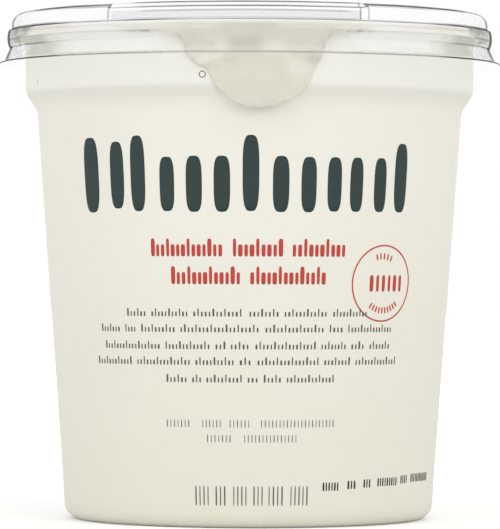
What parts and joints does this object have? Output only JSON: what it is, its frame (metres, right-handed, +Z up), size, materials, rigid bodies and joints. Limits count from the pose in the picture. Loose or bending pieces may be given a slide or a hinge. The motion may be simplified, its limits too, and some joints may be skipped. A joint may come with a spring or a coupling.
{
  "type": "yogurt pot",
  "caption": "Large shut yogurt pot: round tapered tub with a stepped neck, peel-off seal with a folded pull tab, and a thin clear press-on lid.",
  "frame": {"origin": "centre of the circle the pot stands on, on its vertical axis", "axes": "+Z up along the pot's axis of revolution; the front, with the print and the seal's pull tab, faces -Y; +X is to the right as one looks at the front"},
  "size_m": [0.1262, 0.1262, 0.1269],
  "materials": {
    "tub_plastic": "warm ivory moulded plastic with a thin in-mould label skin, satin",
    "seal_film": "off-white lacquered peel film, crumpled where it folds over the rim",
    "lid_clear": "thin clear thermoformed plastic, glossy",
    "ink_green": "dark green printing ink",
    "ink_red": "bright red printing ink",
    "ink_grey": "fine grey printing ink",
    "ink_black": "black dot-marked ink"
  },
  "bodies": {
    "root": {"tub": "tub_plastic", "seal": "seal_film", "lid": "lid_clear"}
  },
  "joints": []
}
